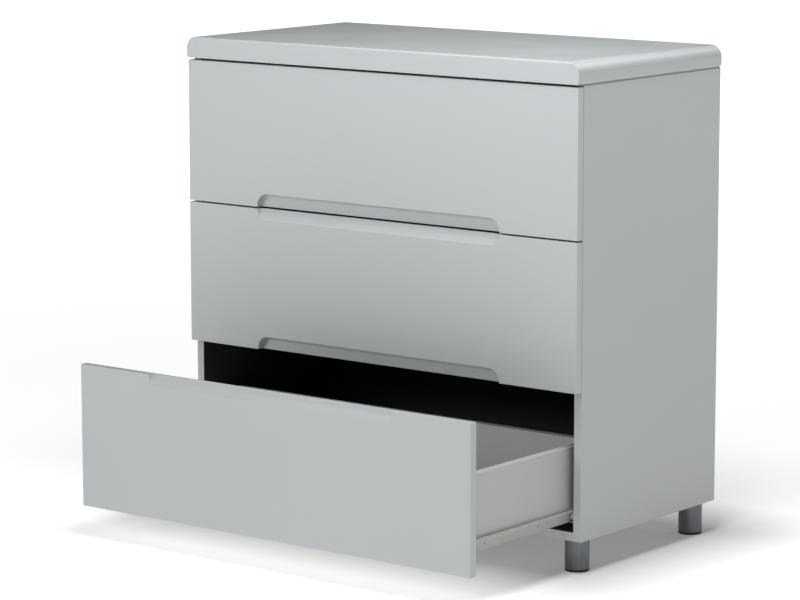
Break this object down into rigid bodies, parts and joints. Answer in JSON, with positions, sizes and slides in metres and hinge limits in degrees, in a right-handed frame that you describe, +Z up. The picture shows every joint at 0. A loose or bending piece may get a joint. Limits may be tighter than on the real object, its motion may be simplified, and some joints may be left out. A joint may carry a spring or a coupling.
{
  "type": "changing chest",
  "caption": "Handle-less nursery changing chest with overlay drawers on roller runners, finger recesses between the fronts, a thick rounded top and short round metal legs.",
  "frame": {"origin": "middle of the footprint on the floor, with the bottom drawer pulled out as it stands at rest", "axes": "+X to the right seen from the front, +Y to the back, +Z up"},
  "size_m": [0.904, 0.755, 0.91],
  "materials": {
    "lacquer": "satin pale grey-white lacquer on fibreboard",
    "melamine": "pale grey-white melamine, fine matt",
    "hardboard": "pale foil on hardboard",
    "leg_steel": "satin",
    "foot_plastic": "matt",
    "runner_enamel": "warm grey powder coat",
    "roller_nylon": "natural nylon",
    "zinc": "zinc plated",
    "beech": "raw beech"
  },
  "bodies": {
    "carcass": {"top_panel": "lacquer", "left_side_panel": "lacquer", "right_side_panel": "lacquer", "bottom_panel": "melamine", "back_panel": "hardboard", "front_top_rail": "melamine", "rear_top_rail": "melamine", "front_left_leg": "leg_steel", "front_right_leg": "leg_steel", "rear_left_leg": "leg_steel", "rear_right_leg": "leg_steel", "leg_floor_caps": "foot_plastic", "leg_bolts": "zinc", "leg_threaded_inserts": "zinc", "top_left_cabinet_runner": "runner_enamel", "top_right_cabinet_runner": "runner_enamel", "middle_left_cabinet_runner": "runner_enamel", "middle_right_cabinet_runner": "runner_enamel", "bottom_left_cabinet_runner": "runner_enamel", "bottom_right_cabinet_runner": "runner_enamel", "cabinet_runner_screws": "zinc", "carcass_cam_locks": "zinc", "carcass_cam_bolts": "zinc", "carcass_dowels": "beech", "top_panel_screws": "zinc", "back_panel_pins": "zinc"},
    "top_drawer": {"top_drawer_front": "lacquer", "top_drawer_left_side": "melamine", "top_drawer_right_side": "melamine", "top_drawer_back": "melamine", "top_drawer_bottom": "hardboard", "top_drawer_left_runner": "runner_enamel", "top_drawer_right_runner": "runner_enamel", "top_drawer_dowels": "beech", "top_drawer_runner_screws": "zinc"},
    "top_cabinet_roller_pair": {"top_cabinet_rollers": "roller_nylon"},
    "top_drawer_roller_pair": {"top_drawer_rollers": "roller_nylon"},
    "middle_drawer": {"middle_drawer_front": "lacquer", "middle_drawer_left_side": "melamine", "middle_drawer_right_side": "melamine", "middle_drawer_back": "melamine", "middle_drawer_bottom": "hardboard", "middle_drawer_left_runner": "runner_enamel", "middle_drawer_right_runner": "runner_enamel", "middle_drawer_dowels": "beech", "middle_drawer_runner_screws": "zinc"},
    "middle_cabinet_roller_pair": {"middle_cabinet_rollers": "roller_nylon"},
    "middle_drawer_roller_pair": {"middle_drawer_rollers": "roller_nylon"},
    "bottom_drawer": {"bottom_drawer_front": "lacquer", "bottom_drawer_left_side": "melamine", "bottom_drawer_right_side": "melamine", "bottom_drawer_back": "melamine", "bottom_drawer_bottom": "hardboard", "bottom_drawer_left_runner": "runner_enamel", "bottom_drawer_right_runner": "runner_enamel", "bottom_drawer_dowels": "beech", "bottom_drawer_runner_screws": "zinc"},
    "bottom_cabinet_roller_pair": {"bottom_cabinet_rollers": "roller_nylon"},
    "bottom_drawer_roller_pair": {"bottom_drawer_rollers": "roller_nylon"}
  },
  "joints": [
    {"name": "top_drawer_slide", "type": "slide", "parent": "carcass", "child": "top_drawer", "axis": [0, -1, 0], "range_m": [0, 0.305]},
    {"name": "top_cabinet_roller_spin", "type": "hinge", "parent": "carcass", "child": "top_cabinet_roller_pair", "pos_m": [0, -0.0415, 0.6434], "axis": [1, 0, 0], "range_deg": [0, 2071]},
    {"name": "top_drawer_roller_spin", "type": "hinge", "parent": "top_drawer", "child": "top_drawer_roller_pair", "pos_m": [0, 0.3335, 0.6426], "axis": [1, 0, 0], "range_deg": [0, 2285]},
    {"name": "middle_drawer_slide", "type": "slide", "parent": "carcass", "child": "middle_drawer", "axis": [0, -1, 0], "range_m": [0, 0.305]},
    {"name": "middle_cabinet_roller_spin", "type": "hinge", "parent": "carcass", "child": "middle_cabinet_roller_pair", "pos_m": [0, -0.0415, 0.3734], "axis": [1, 0, 0], "range_deg": [0, 2071]},
    {"name": "middle_drawer_roller_spin", "type": "hinge", "parent": "middle_drawer", "child": "middle_drawer_roller_pair", "pos_m": [0, 0.3335, 0.3726], "axis": [1, 0, 0], "range_deg": [0, 2285]},
    {"name": "bottom_drawer_slide", "type": "slide", "parent": "carcass", "child": "bottom_drawer", "axis": [0, -1, 0], "range_m": [-0.305, 0]},
    {"name": "bottom_cabinet_roller_spin", "type": "hinge", "parent": "carcass", "child": "bottom_cabinet_roller_pair", "pos_m": [0, -0.0415, 0.1034], "axis": [1, 0, 0], "range_deg": [-2071, 0]},
    {"name": "bottom_drawer_roller_spin", "type": "hinge", "parent": "bottom_drawer", "child": "bottom_drawer_roller_pair", "pos_m": [0, 0.0285, 0.1026], "axis": [1, 0, 0], "range_deg": [-2285, 0]}
  ],
  "couplings": [
    {"joint": "top_cabinet_roller_spin", "follows": "top_drawer_slide", "rad_per_m": 117.65},
    {"joint": "top_drawer_roller_spin", "follows": "top_drawer_slide", "rad_per_m": 129.87},
    {"joint": "middle_cabinet_roller_spin", "follows": "middle_drawer_slide", "rad_per_m": 117.65},
    {"joint": "middle_drawer_roller_spin", "follows": "middle_drawer_slide", "rad_per_m": 129.87},
    {"joint": "bottom_cabinet_roller_spin", "follows": "bottom_drawer_slide", "rad_per_m": 117.65},
    {"joint": "bottom_drawer_roller_spin", "follows": "bottom_drawer_slide", "rad_per_m": 129.87}
  ]
}
